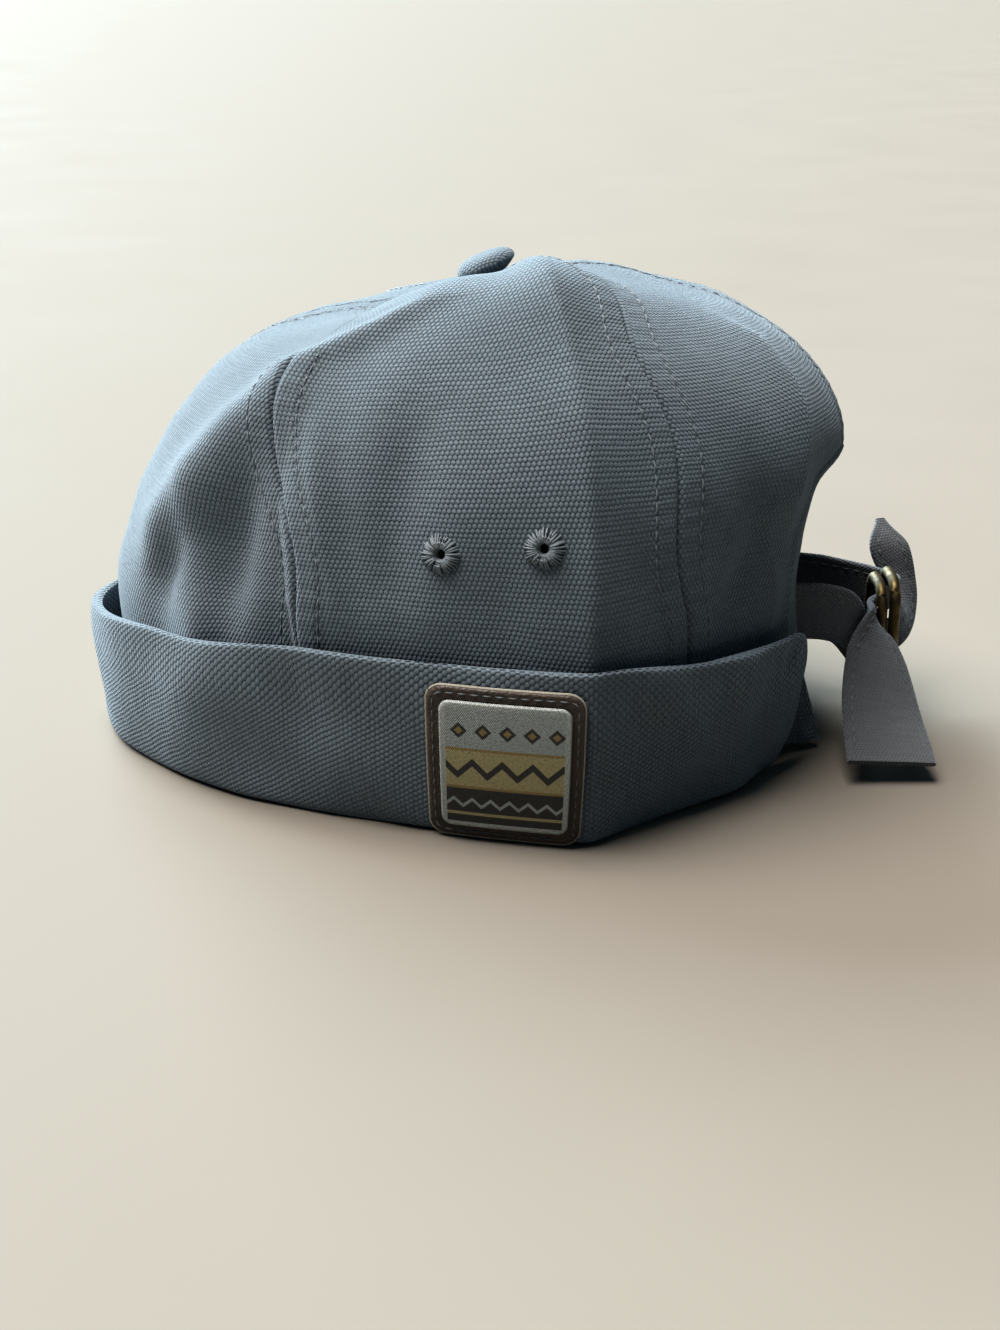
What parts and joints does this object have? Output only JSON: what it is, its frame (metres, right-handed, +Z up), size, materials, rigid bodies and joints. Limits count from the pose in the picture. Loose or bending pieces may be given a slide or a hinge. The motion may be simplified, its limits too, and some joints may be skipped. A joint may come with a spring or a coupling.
{
  "type": "docker cap",
  "caption": "Brimless soft canvas cap with a folded-up cuff, a covered top button, a patch on the cuff and a strap through paired rings at an arched back.",
  "frame": {"origin": "middle of the cap's footprint, on the surface it stands on", "axes": "+X towards the cap's arched back, -Y towards its left side with the patch, +Z up"},
  "size_m": [0.2272, 0.1816, 0.1299],
  "materials": {
    "canvas": "slate blue-grey duck canvas, coarse plain weave",
    "strap_canvas": "the same canvas folded into a strap",
    "thread": "dark grey embroidery thread",
    "patch_leather": "dark brown, matt, pale cut edge",
    "patch_weave": "woven label cloth in pale grey, ochre and near-black",
    "antique_brass": "dark antique brass, worn bright on the crests"
  },
  "bodies": {
    "root": {"panel_left": "canvas", "panel_back_left": "canvas", "panel_back_right": "canvas", "panel_right": "canvas", "panel_front_right": "canvas", "panel_front_left": "canvas", "cuff": "canvas", "button": "canvas", "eyelet_1": "thread", "eyelet_2": "thread", "eyelet_3": "thread", "eyelet_4": "thread", "patch_backing": "patch_leather", "patch_face": "patch_weave", "strap_near": "strap_canvas", "strap_far": "strap_canvas", "ring_1": "antique_brass", "ring_2": "antique_brass"}
  },
  "joints": []
}
